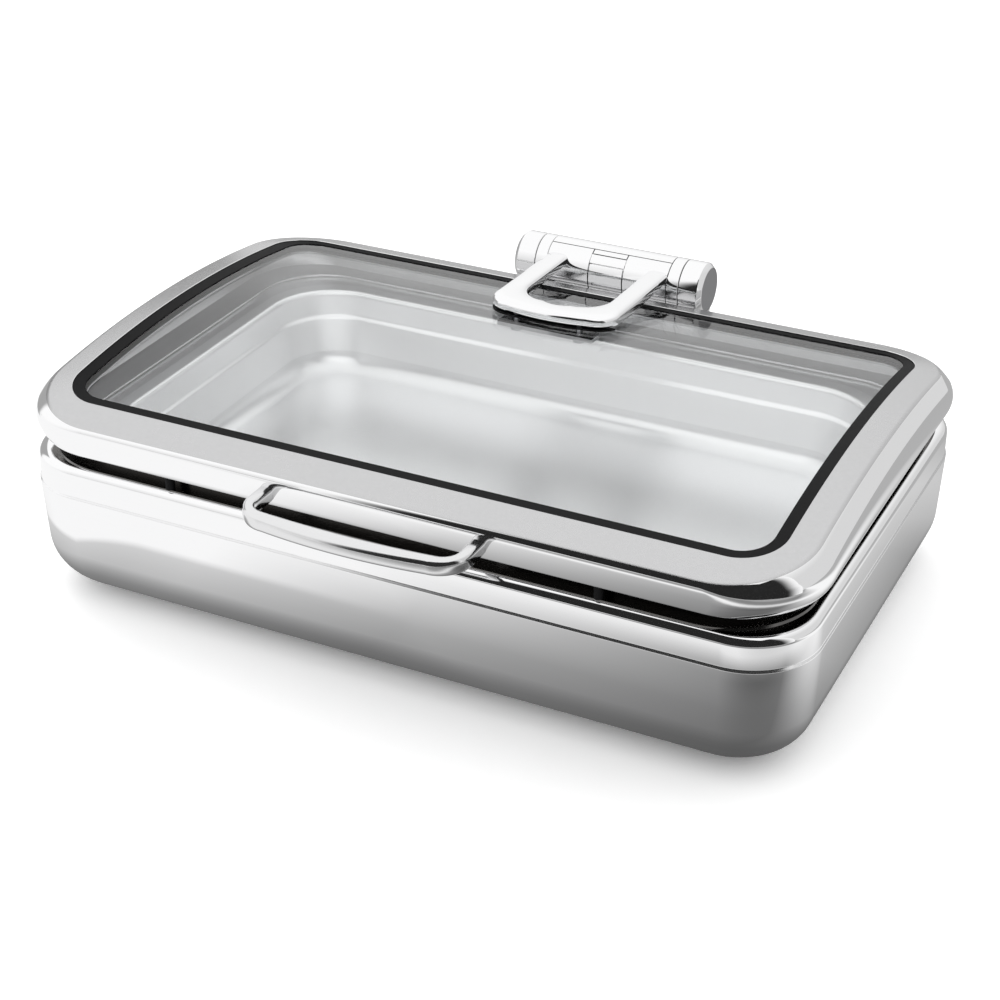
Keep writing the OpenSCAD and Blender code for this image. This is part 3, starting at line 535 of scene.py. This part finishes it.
def build_lid_frame():
    """The lid's frame as one sheet: side, shoulder, border, and back down to the turned-in edge."""
    window_round, edge_round = 0.6, 0.7
    rim = window_level(0, WINDOW_Z)
    side = skirt(0)
    crease = side[-1]
    outside = side[:SHOULDER_START + 1]
    outside += shoulder(outside[-1], crease, between(crease, rim, SHOULDER_REACH))
    lowest = skirt_level(2 * EDGE_SHEET / (SKIRT_H - LID_SHEET) - 1, LID_SHEET)
    inside = [level for level in skirt(LID_SHEET)[:0:-1] if level[3] > lowest[3]] + [lowest]
    turned_in = [turned_edge(LID_EDGE_Z + EDGE_SHEET), turned_edge(LID_EDGE_Z)]
    under_rim = window_level(0, WINDOW_Z - LID_SHEET)
    bm, rings, strips = sweep(outside + [rim, under_rim] + inside + turned_in, close=True)
    border = len(outside) - 1
    paint(strips[border - SHOULDER_SATIN:border + 1], 1)
    # The lid's inside gets the darker steel: painted shade
    paint(strips[border + 2:-1], 2)
    # The underside of the turned-in edge gets the dark steel: painted shade in the gap under the lid
    paint(strips[-1:], 3)
    soften(bm, rings[border + 1], window_round, 3)
    soften(bm, rings[0], edge_round, 3)
    make(bm, "lid_frame_skin", "lid", "lid_frame", "satin_steel", MIRROR, SATIN, SHADED_LID_INSIDE, GAP_SHADE_STEEL)


def build_glass():
    """The arched pane, bridged between its two ends and given its thickness."""
    low = window_level(SEAL_EDGE + FIT, GLASS_LOW_Z + FIT)
    bm = bmesh.new()
    outline = rounded_outline(bm, low)
    front_and_back = [edge for edge in outline if edge.calc_length() > low[0] / 2]
    sides = [edge for edge in outline if edge not in front_and_back]
    bmesh.ops.delete(bm, geom=front_and_back, context="EDGES_FACES")
    sheet = bmesh.ops.bridge_loops(bm, edges=sides)["faces"]
    raised = bmesh.ops.extrude_face_region(bm, geom=sheet, use_keep_orig=True)["geom"]
    bmesh.ops.translate(bm, vec=(0, 0, GLASS_T - 2 * FIT), verts=kind(raised, bmesh.types.BMVert))
    make(bm, "lid_glass_pane", "lid", "lid_glass", "clear_glass", GLASS)


def build_seal():
    """The seal round the glass, with a lip above and below it, narrower along the back."""
    lip_round = 0.35
    levels = [window_level(PLAY, SEAL_LOW_Z), window_level(PLAY, WINDOW_Z - SEAL_RECESS),
              window_level(SEAL_W, GLASS_TOP_Z + SEAL_LIP / 2), window_level(SEAL_W, GLASS_TOP_Z),
              window_level(SEAL_EDGE, GLASS_TOP_Z), window_level(SEAL_EDGE, GLASS_LOW_Z),
              window_level(SEAL_LOW_W, GLASS_LOW_Z), window_level(SEAL_LOW_W, SEAL_LOW_Z)]
    bm, rings, _ = sweep(levels, close=True)
    for vert in {vert for edge in rings[2] + rings[3] for vert in edge.verts}:
        y = vert.co.y
        slim = SEAL_BACK_SLIM * max(0.0, y) / (WINDOW_W / 2)
        vert.co.y += slim
        vert.co.z += lift(y + slim) - lift(y)
    soften(bm, rings[1] + rings[2], lip_round, 3)
    make(bm, "glass_seal_skin", "lid", "glass_seal", "black_silicone", SILICONE)


def build_retainer():
    """The ring under the border that holds the seal and the glass from below."""
    sheet, riser, flange = 1.5, 0.6, 16.1
    slope = BORDER_RISE / BORDER_W

    def flange_z(out):
        return WINDOW_Z - slope * out - LID_SHEET - PLAY

    foot_z = SEAL_LOW_Z - PLAY
    levels = [window_level(-flange, flange_z(flange) - sheet), window_level(-flange, flange_z(flange)),
              window_level(-riser, flange_z(riser)), window_level(-riser, foot_z),
              window_level(SEAL_W, foot_z), window_level(SEAL_W, foot_z - sheet),
              window_level(-riser - sheet, foot_z - sheet),
              window_level(-riser - sheet, flange_z(riser + sheet) - sheet)]
    bm = sweep(levels, close=True)[0]
    make(bm, "glass_retainer_skin", "lid", "glass_retainer", "satin_steel", PLAIN)


# Bent bars

def bow_path(half, near, far, radius, bow):
    """Three sides of a rectangle seen from above, with round far corners and a bowed far side."""
    reach, side = half - radius, far + bow
    corner = arc(-reach, side + radius, radius, 180, 270)
    run = corner[0][1] - near
    leg = [(-half, near + run * i / LEG_STEPS) for i in range(LEG_STEPS)]
    left = leg + corner[:-1]
    shares = [2 * i / END_CUTS - 1 for i in range(END_CUTS + 1)]
    grip = [(reach * share, side - bow * (1 - share ** 2)) for share in shares]
    return left + grip + [(-x, y) for x, y in left[::-1]]


def oval_bar(outer, inner, top, under, fullness):
    """A bar between two paths seen from above, from one height to another.

    Its section is an ellipse at a fullness of 1, and squarer below that.
    """
    stations = []
    for (x0, y0), (x1, y1) in zip(outer, inner):
        half = Vector((x0 - x1, y0 - y1, 0)) / 2
        up = Vector((0, 0, 1))
        station = Matrix((half, up, half.cross(up).normalized())).transposed().to_4x4()
        station.translation = ((x0 + x1) / 2, (y0 + y1) / 2, 0)
        stations.append(station)
    bm = bmesh.new()
    ring = bmesh.ops.create_circle(bm, cap_ends=False, segments=OVAL_STEPS, radius=1)["verts"]
    for vert in ring:
        vert.co = [math.copysign(abs(value) ** fullness, value) for value in vert.co]
    bmesh.ops.transform(bm, matrix=stations[0], verts=ring)
    edges = bm.edges[:]
    bmesh.ops.contextual_create(bm, geom=edges)
    for old, new in zip(stations, stations[1:]):
        made = bmesh.ops.extrude_edge_only(bm, edges=edges)["geom"]
        verts = kind(made, bmesh.types.BMVert)
        bmesh.ops.transform(bm, matrix=new @ old.inverted(), verts=verts)
        edges = [edge for edge in kind(made, bmesh.types.BMEdge) if set(edge.verts) <= set(verts)]
    bmesh.ops.contextual_create(bm, geom=edges)
    for vert in bm.verts:
        high, low = top(vert.co.y), under(vert.co.y)
        vert.co.z = low + (high - low) * (vert.co.z + 1) / 2
    return bm


def build_handle():
    """The bent-bar handle on the lid's front."""
    half, width, root_y = 81.0, 10.4, -193.6
    grip_in, grip_out = -225.0, -238.0
    middle, thick, fullness = LIP_Z + 20.5, 12.0, 0.67
    outer_corner, outer_bow = 25.0, 4.5
    inner_corner, inner_bow = 10.0, 3.0
    outer = bow_path(half + width / 2, root_y, grip_out, outer_corner, outer_bow)
    inner = bow_path(half - width / 2, root_y, grip_in, inner_corner, inner_bow)
    bm = oval_bar(outer, inner, lambda y: middle + thick / 2, lambda y: middle - thick / 2, fullness)
    make(bm, "lid_handle_bar", "lid", "lid_handle", "mirror_steel", SHADED_HANDLE_STEEL)


# Hinge

HINGE = Vector((0, HINGE_Y, HINGE_Z))


def on_barrel(x, radius, angle):
    """A place on the barrel, at an angle upwards from its front, in degrees."""
    turn = math.radians(angle)
    return HINGE + Vector((x, -radius * math.cos(turn), radius * math.sin(turn)))


def turned(bm, section, start=0.0, end=360.0, steps=TURN_STEPS):
    """Spins a line of (place along the axis, radius) about the hinge's axis."""
    verts = [bm.verts.new(on_barrel(x, radius, start)) for x, radius in section]
    edges = [bm.edges.new(pair) for pair in zip(verts, verts[1:])]
    angle = math.radians(end - start)
    whole = angle > 2 * math.pi - HAIR
    bmesh.ops.spin(bm, geom=verts + edges, cent=HINGE, axis=(-1, 0, 0), dvec=(0, 0, 0), angle=angle,
                   steps=steps, use_merge=whole, use_duplicate=False)


def patch(bm, x0, x1, start, end):
    """A plate of the barrel's skin with softened edges, set back by the seam's gap."""
    deep, fewest_steps, step_angle = 3.0, 6, 4
    part = bmesh.new()
    slack = math.degrees(SEAM_GAP / BARREL_R)
    turned(part, [(x0 + SEAM_GAP, BARREL_R), (x1 - SEAM_GAP, BARREL_R)], start + slack, end - slack,
           max(fewest_steps, int((end - start) / step_angle)))
    bmesh.ops.recalc_face_normals(part, faces=part.faces)
    outward = sum(face.normal.dot(face.calc_center_median() - HINGE) for face in part.faces)
    if outward < 0:
        bmesh.ops.reverse_faces(part, faces=part.faces)
    bmesh.ops.solidify(part, geom=part.faces[:], thickness=deep)
    skin_r = BARREL_R - 10 * HAIR
    rims = [edge for edge in sharp_edges(part, SHARP_ANGLE)
            if all((vert.co - HINGE).yz.length > skin_r for vert in edge.verts)]
    soften(part, rims, SEAM_EDGE, 2)
    append(bm, part)


def append(bm, part):
    """Adds one bmesh to another."""
    mesh = bpy.data.meshes.new("part")
    part.to_mesh(mesh)
    part.free()
    bm.from_mesh(mesh)
    bpy.data.meshes.remove(mesh)


# Where the loop's roots meet the barrel, as angles, and its tab's half width and overlap
ROOT_TOP, ROOT_NOTCH, ROOT_TAB, ROOT_LOW = 70.0, 56.0, 33.0, -60.0
TAB_HALF, TAB_OVER = 15.0, 0.6


def build_barrel():
    """The turning barrel: a ring at each end, and the skin that the loop's roots leave free."""
    bm = bmesh.new()
    inner, broken = BARREL_R - BARREL_SKIN, BARREL_R - SEAM_EDGE
    for side in (-1, 1):
        x0, x1 = sorted((side * ARM_HALF, side * BARREL_HALF))
        turned(bm, [(x0, inner), (x0, broken), (x0 + SEAM_EDGE, BARREL_R),
                    (x1 - SEAM_EDGE, BARREL_R), (x1, broken), (x1, inner)])
    patch(bm, -ARM_HALF, ARM_HALF, ROOT_TOP, 360.0 + ROOT_LOW)
    patch(bm, -TAB_HALF, TAB_HALF, ROOT_NOTCH, ROOT_TOP)
    patch(bm, -TAB_HALF, TAB_HALF, ROOT_LOW, ROOT_TAB)
    turned(bm, [(-ARM_HALF, inner), (ARM_HALF, inner)])
    make(bm, "hinge_barrel_skin", "lid", "hinge_barrel", "mirror_steel", MIRROR)


def build_loop():
    """The loop from the barrel on to the glass, and its roots in the barrel's skin."""
    rear, root, front = HINGE_Y - 8.0, HINGE_Y - 13.0, HINGE_Y - 138.0
    root_top, rise, low_z = HINGE_Z + 14.5, 5.8, HINGE_Z + 5.5
    arm_w, front_w, over_glass, fullness = 18.5, 21.5, 1.35, 0.62
    outer_corner, outer_bow = 20.0, 4.0
    inner_corner, inner_bow = 26.0, 3.0

    def top(y):
        return root_top + rise * max(0.0, (root - y) / (root - front))

    def under(y):
        return max(low_z, GLASS_TOP_Z + lift(y) + over_glass)

    outer = bow_path(ARM_HALF, rear, front, outer_corner, outer_bow)
    inner = bow_path(ARM_HALF - arm_w, rear, front + front_w, inner_corner, inner_bow)
    bm = oval_bar(outer, inner, top, under, fullness)
    for side in (-1, 1):
        x0, x1 = sorted((side * TAB_HALF, side * ARM_HALF))
        patch(bm, x0, x1, ROOT_LOW, ROOT_TOP)
    patch(bm, -TAB_HALF - TAB_OVER, TAB_HALF + TAB_OVER, ROOT_TAB, ROOT_NOTCH)
    make(bm, "hinge_loop", "lid", "hinge_arm", "mirror_steel", MIRROR)


def knuckle_section():
    """Half of a knuckle cut along its axis: bore, rounded skin, chamfered end and the cap's seat."""
    edge, before, after, sink, rim, lip = 0.4, 0.5, 0.3, 0.35, 0.3, 0.2
    chamfer_x, chamfer_r = KNUCKLE_END - KNUCKLE_CHAMFER, BARREL_R - KNUCKLE_CHAMFER
    seat = KNUCKLE_END - CAP_DEEP
    return [(KNUCKLE_X, AXLE_BORE_R), (KNUCKLE_X, BARREL_R - edge), (KNUCKLE_X + edge, BARREL_R),
            (chamfer_x - before, BARREL_R), (chamfer_x + after, BARREL_R - sink),
            (KNUCKLE_END - rim, chamfer_r + rim), (KNUCKLE_END, chamfer_r - lip), (KNUCKLE_END, CAP_SEAT_R),
            (seat, CAP_SEAT_R), (seat, AXLE_BORE_R)]


def build_bracket():
    """The two knuckles with their ears, and the base between the ears on the body's back."""
    ear_front, base_back = CREASE_W / 2 + 2.5, CREASE_W / 2 + 10.5
    base_low, base_top = BODY_CREASE_Z - 37.0, BODY_CREASE_Z - 5.0
    base_front = BODY_W / 2 + 2.0
    ear_back, ear_shoulder = HINGE_Y + 0.9 * BARREL_R, HINGE_Z - BARREL_R / 3
    ear_top, ear_cut = HINGE_Z - 7.0, HINGE_Z - 0.62 * BARREL_R
    ear_angle, ear_round, base_round = 30, 0.8, 1.0
    block_half = KNUCKLE_END - KNUCKLE_CHAMFER
    bm = bmesh.new()
    for side in (-1, 1):
        turned(bm, [(side * x, radius) for x, radius in knuckle_section()])
        ear = bmesh.new()
        corners = [(ear_front, base_low), (base_back, base_low), (ear_back, ear_shoulder), (HINGE_Y, ear_top),
                   (ear_front, ear_cut)]
        face = ear.faces.new([ear.verts.new((side * KNUCKLE_X, y, z)) for y, z in corners])
        grown = bmesh.ops.extrude_face_region(ear, geom=[face], use_keep_orig=True)["geom"]
        across = side * (block_half - KNUCKLE_X)
        bmesh.ops.translate(ear, vec=(across, 0, 0), verts=kind(grown, bmesh.types.BMVert))
        bmesh.ops.recalc_face_normals(ear, faces=ear.faces)
        soften(ear, sharp_edges(ear, ear_angle), ear_round, 3)
        append(bm, ear)
    block = bmesh.new()
    verts = bmesh.ops.create_cube(block, size=1.0)["verts"]
    bmesh.ops.scale(block, vec=(2 * block_half, base_back - base_front, base_top - base_low), verts=verts)
    bmesh.ops.translate(block, vec=(0, (base_back + base_front) / 2, (base_top + base_low) / 2), verts=verts)
    soften(block, block.edges[:], base_round, 3)
    append(bm, block)
    make(bm, "hinge_bracket_skin", "base", "hinge_bracket", "mirror_steel", MIRROR)


def build_end_caps():
    """The discs in the knuckles' ends, just below flush and with a broken edge."""
    sunk, edge = 0.1, 0.3
    seat, face = KNUCKLE_END - CAP_DEEP, KNUCKLE_END - sunk
    section = [(seat, 0.0), (seat, CAP_R), (face - edge, CAP_R), (face, CAP_R - edge), (face, 0.0)]
    bm = bmesh.new()
    for side in (-1, 1):
        turned(bm, [(side * x, radius) for x, radius in section])
    make(bm, "hinge_end_cap_discs", "base", "hinge_end_caps", "satin_steel", CAP_STEEL)


build_body()
build_base_plate()
build_collar()
build_pan()
build_lid_frame()
build_glass()
build_seal()
build_retainer()
build_handle()
build_barrel()
build_loop()
build_bracket()
build_end_caps()

# Finishes of the nodes that stay as they are
NODE_FINISHES = {
    SILICONE: ("lid_bumpers", "bracket_seal", "arm_pad", "clamp_pad"),
    PLAIN: ("bracket_backing", "clamp_plate"),
    FASTENER: ("bracket_screws", "retainer_studs", "retainer_nuts", "handle_screws", "handle_washers",
               "barrel_screws", "arm_bolts", "hinge_axle"),
    SPRING: ("torsion_spring",),
    ACETAL: ("hinge_bushes", "spring_sleeve", "damper_rotor"),
    DARK_PLASTIC: ("damper_housing",),
}
for finish_material, names in NODE_FINISHES.items():
    for node_name in names:
        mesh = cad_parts[node_name].data
        mesh.materials.clear()
        mesh.materials.append(finish_material)


# Studio

def add_sheet(name, size, material):
    """A flat stage sheet, facing up."""
    bm = bmesh.new()
    verts = bmesh.ops.create_grid(bm, x_segments=4, y_segments=4, size=0.5)["verts"]
    bmesh.ops.scale(bm, vec=(size[0], size[1], 1), verts=verts)
    mesh = bpy.data.meshes.new(name)
    bm.to_mesh(mesh)
    bm.free()
    mesh.materials.append(material)
    sheet = bpy.data.objects.new(name, mesh)
    bpy.context.scene.collection.objects.link(sheet)
    return sheet


# Painted shade in what steel mirrors of the floor, as (metres from the core of the body's plan, grey level)
FLOOR_CORE = (0.25, 0.14, 0.0)
MIRRORED_SHADE_AROUND = ((0.0, 0.1), (0.05, 0.25), (0.1, 0.6), (0.16, 0.9), (0.22, 1.0))
MIRRORED_SHADE_FRONT = ((0.0, 0.08), (0.05, 0.17), (0.1, 0.34), (0.12, 0.42), (0.155, 0.72), (0.19, 0.97), (0.22, 1.0))
MIRRORED_SHADE_FRONT_LEFT = ((0.0, 0.1), (0.05, 0.25), (0.09, 0.5), (0.125, 0.66), (0.132, 1.0))
MIRRORED_SHADE_FRONT_RIGHT = ((0.0, 0.01), (0.05, 0.03), (0.1, 0.08), (0.155, 0.12), (0.19, 0.3), (0.215, 0.85),
                     (0.25, 1.0), (0.275, 0.7), (0.31, 0.35), (0.45, 0.3), (0.6, 0.9))

# Where those parts of the floor's painted shade begin and end, in metres along a way over it
FRONT_RIGHT_WAY, FRONT_RIGHT_START, FRONT_RIGHT_END = (0.62, -0.78, 0.0), 0.2, 0.42
CORNER_WAY, CORNER_START, CORNER_END = (0.75, -0.66, 0.0), 0.45, 0.6
SIDE_START, SIDE_END = -0.02, -0.2
BEHIND_START, BEHIND_END = 0.16, 0.36
# How much painted shade lies ahead of the front right corner and behind the body, and its grey levels
CORNER_AMOUNT, CORNER_TONE, BEHIND_AMOUNT, BEHIND_TONE = 0.75, 0.22, 0.6, 0.1
FLOOR_SIZE, FLOOR_TONE, FLOOR_LIFT = 16.0, 0.95, 0.34

# The room: its level for dull surfaces, and what steel mirrors of it from its darker to its brighter side
ROOM_FILL = 1.05
ROOM_BRIGHT_WAY, ROOM_START, ROOM_END = (-0.6, 0.1, 0.8), 0.05, 0.65
ROOM_DARKER, ROOM_BRIGHTER = 0.72, 1.05


def build_floor():
    """A white floor with the object's shadow. What steel mirrors of it is an emission with painted shade:
    darker near the body, towards its front right and behind it.
    """
    finish = Finish(bpy.data.materials.new("white_floor"))
    place = finish.node("ShaderNodeTexCoord", output="Object")
    past = finish.vector("SUBTRACT", finish.vector("ABSOLUTE", place), FLOOR_CORE)
    distance = finish.vector("LENGTH", finish.vector("MAXIMUM", past, (0.0, 0.0, 0.0)), output="Value")
    along = finish.node("ShaderNodeSeparateXYZ", {}, {0: place}, output="X")
    across = finish.node("ShaderNodeSeparateXYZ", {}, {0: place}, output="Y")
    toward_right = finish.vector("DOT_PRODUCT", place, FRONT_RIGHT_WAY, "Value")
    toward_corner = finish.vector("DOT_PRODUCT", place, CORNER_WAY, "Value")
    front_right = finish.fade(toward_right, FRONT_RIGHT_START, FRONT_RIGHT_END)
    corner = finish.fade(toward_corner, CORNER_START, CORNER_END, high=CORNER_AMOUNT)
    left = finish.fade(along, SIDE_START, SIDE_END)
    front = finish.fade(across, SIDE_START, SIDE_END)
    behind = finish.fade(across, BEHIND_START, BEHIND_END, high=BEHIND_AMOUNT)
    # Painted shade of the floor as steel mirrors it, by distance from the body
    ahead = finish.blend(left, finish.ramp(distance, MIRRORED_SHADE_FRONT), finish.ramp(distance, MIRRORED_SHADE_FRONT_LEFT))
    ahead = finish.blend(front_right, ahead, finish.ramp(distance, MIRRORED_SHADE_FRONT_RIGHT))
    ahead = finish.blend(corner, ahead, grey(CORNER_TONE))
    around = finish.blend(front, finish.ramp(distance, MIRRORED_SHADE_AROUND), ahead)
    painted_shade_mirrored = finish.blend(behind, around, grey(BEHIND_TONE))
    whiteness = finish.ray("Is Camera Ray") * FLOOR_LIFT + FLOOR_TONE
    seen = finish.node("ShaderNodeBsdfDiffuse", {}, {"Color": whiteness})
    painted_reflection = finish.node("ShaderNodeEmission", {}, {"Color": painted_shade_mirrored, "Strength": 1.0})
    shader = finish.node("ShaderNodeMixShader", {}, {0: finish.ray("Is Glossy Ray"), 1: seen, 2: painted_reflection})
    add_sheet("studio_floor", (FLOOR_SIZE, FLOOR_SIZE), finish.output(shader))


def build_world():
    """A white room. Steel mirrors it as a little darker to the right."""
    world = bpy.data.worlds.new("studio")
    bpy.context.scene.world = world
    finish = Finish(world)
    way = finish.node("ShaderNodeTexCoord", output="Generated")
    toward = finish.vector("DOT_PRODUCT", way, Vector(ROOM_BRIGHT_WAY).normalized(), "Value")
    room = finish.fade(toward, ROOM_START, ROOM_END, ROOM_DARKER, ROOM_BRIGHTER)
    camera = finish.ray("Is Camera Ray")
    glossy = finish.ray("Is Glossy Ray")
    through = finish.ray("Is Transmission Ray")
    strength = camera + through + glossy * room + (1.0 - camera - glossy - through) * ROOM_FILL
    shader = finish.node("ShaderNodeBackground", {}, {"Color": grey(1.0), "Strength": strength})
    finish.output(shader, "ShaderNodeOutputWorld")


def add_card(name, place, turn, size, tone, painted_tone_under_glass, edge_start=0.86):
    """A card that only metal mirrors, a painted reflection: one tone outside the lid, and another painted
    tone under its glass for what the pan mirrors.

    Its sides fade to white, from a share of the half width on.
    """
    finish = Finish(bpy.data.materials.new(name))
    spot = finish.node("ShaderNodeTexCoord", output="Object")
    share = finish.vector("MULTIPLY", spot, (2.0 / size[0], 2.0 / size[1], 0.0))
    sideways = finish.node("ShaderNodeSeparateXYZ", {}, {0: finish.vector("ABSOLUTE", share)}, output="X")
    edge = finish.fade(sideways, edge_start, 1.0, tone, 1.0, "SMOOTHSTEP")
    depth = finish.ray("Transparent Depth")
    under_glass = finish.node("ShaderNodeMath", {"operation": "MINIMUM"}, {0: depth, 1: 1.0})
    level = edge * (1.0 - under_glass) + under_glass * painted_tone_under_glass
    shader = finish.node("ShaderNodeEmission", {}, {"Color": grey(1.0), "Strength": level})
    card = add_sheet(name, size, finish.output(shader))
    card.location = place
    card.rotation_euler = [math.radians(angle) for angle in turn]
    card.visible_camera = False
    card.visible_diffuse = False
    card.visible_transmission = False
    card.visible_shadow = False


def aim(place, target):
    """The turn of a lamp or camera that looks from one place to another."""
    return (Vector(target) - Vector(place)).to_track_quat("-Z", "Y").to_euler()


def add_lamp(name, place, target, size, power):
    """A softbox that steel doesn't mirror."""
    lamp = bpy.data.lights.new(name, "AREA")
    lamp.shape = "RECTANGLE"
    lamp.size, lamp.size_y = size
    lamp.energy = power
    holder = bpy.data.objects.new(name, lamp)
    holder.location = place
    holder.rotation_euler = aim(place, target)
    holder.visible_glossy = False
    bpy.context.scene.collection.objects.link(holder)


def add_camera(place, target, focal_length, sensor):
    """The photograph's viewpoint, solved from the object's outlines."""
    lens = bpy.data.cameras.new("camera")
    lens.lens = focal_length
    lens.sensor_width = sensor
    holder = bpy.data.objects.new("camera", lens)
    holder.location = place
    holder.rotation_euler = aim(place, target)
    bpy.context.scene.collection.objects.link(holder)
    bpy.context.scene.camera = holder


build_floor()
build_world()
# Cards that only steel mirrors: painted dark reflections outside the lid, and a painted glow in what the pan
# mirrors under the glass
add_card("front_card", place=(0.5, -0.75, 0.84), turn=(90, 0, 0), size=(1.7, 1.64), tone=0.02,
         painted_tone_under_glass=1.3)
add_card("right_card", place=(0.97, -0.6, 0.84), turn=(90, 0, 90), size=(0.8, 1.64), tone=0.02,
         painted_tone_under_glass=0.35, edge_start=0.4)
add_card("left_card", place=(-0.9, 0.45, 0.25), turn=(90, 0, 90), size=(1.1, 0.5), tone=0.4,
         painted_tone_under_glass=0.4)
add_lamp("key_softbox", place=(-1.5, 0.9, 2.0), target=(0, 0, 0.1), size=(2.0, 2.0), power=8.0)
add_camera(place=(0.6093, -1.2374, 0.8297), target=(0.0134, -0.0229, 0.0699), focal_length=74.83, sensor=36.0)
bpy.context.scene.view_settings.view_transform = "Standard"
